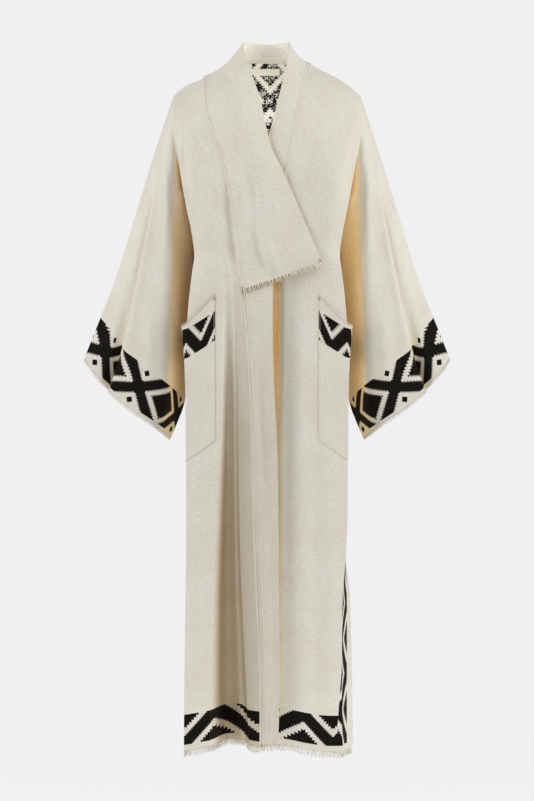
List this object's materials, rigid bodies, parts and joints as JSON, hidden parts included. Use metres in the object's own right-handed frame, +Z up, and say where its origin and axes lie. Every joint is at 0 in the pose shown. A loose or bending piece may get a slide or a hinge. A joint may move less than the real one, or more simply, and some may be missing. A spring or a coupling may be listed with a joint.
{
  "type": "kaftan",
  "caption": "Long open-front kaftan with wide sleeves, crossing collar bands, side slits and pockets, hollow as it is worn.",
  "frame": {"origin": "middle of the shoulder line, where the wearer's shoulders hold the garment up", "axes": "+Z up, -Y towards the garment's front, +X towards the wearer's left"},
  "size_m": [0.7382, 0.256, 1.4419],
  "materials": {
    "cotton": "coarse woven cotton with black woven borders",
    "yarn": "loose cotton yarn",
    "label": "smooth bare cotton tape"
  },
  "bodies": {
    "root": {"back": "cotton", "front_right": "cotton", "front_left": "cotton", "front_band": "cotton", "sleeve_right": "cotton", "sleeve_left": "cotton", "collar_right": "cotton", "collar_left": "cotton", "pocket_right": "cotton", "pocket_left": "cotton", "neck_label": "label", "hem_fringe_back": "yarn", "hem_fringe_front_right": "yarn", "hem_fringe_front_left": "yarn", "cuff_fringe_right": "yarn", "cuff_fringe_left": "yarn", "slit_fringe_front_right": "yarn", "slit_fringe_front_left": "yarn", "slit_fringe_back_right": "yarn", "slit_fringe_back_left": "yarn", "collar_fringe": "yarn", "pocket_fringe_right": "yarn", "pocket_fringe_left": "yarn"}
  },
  "joints": []
}
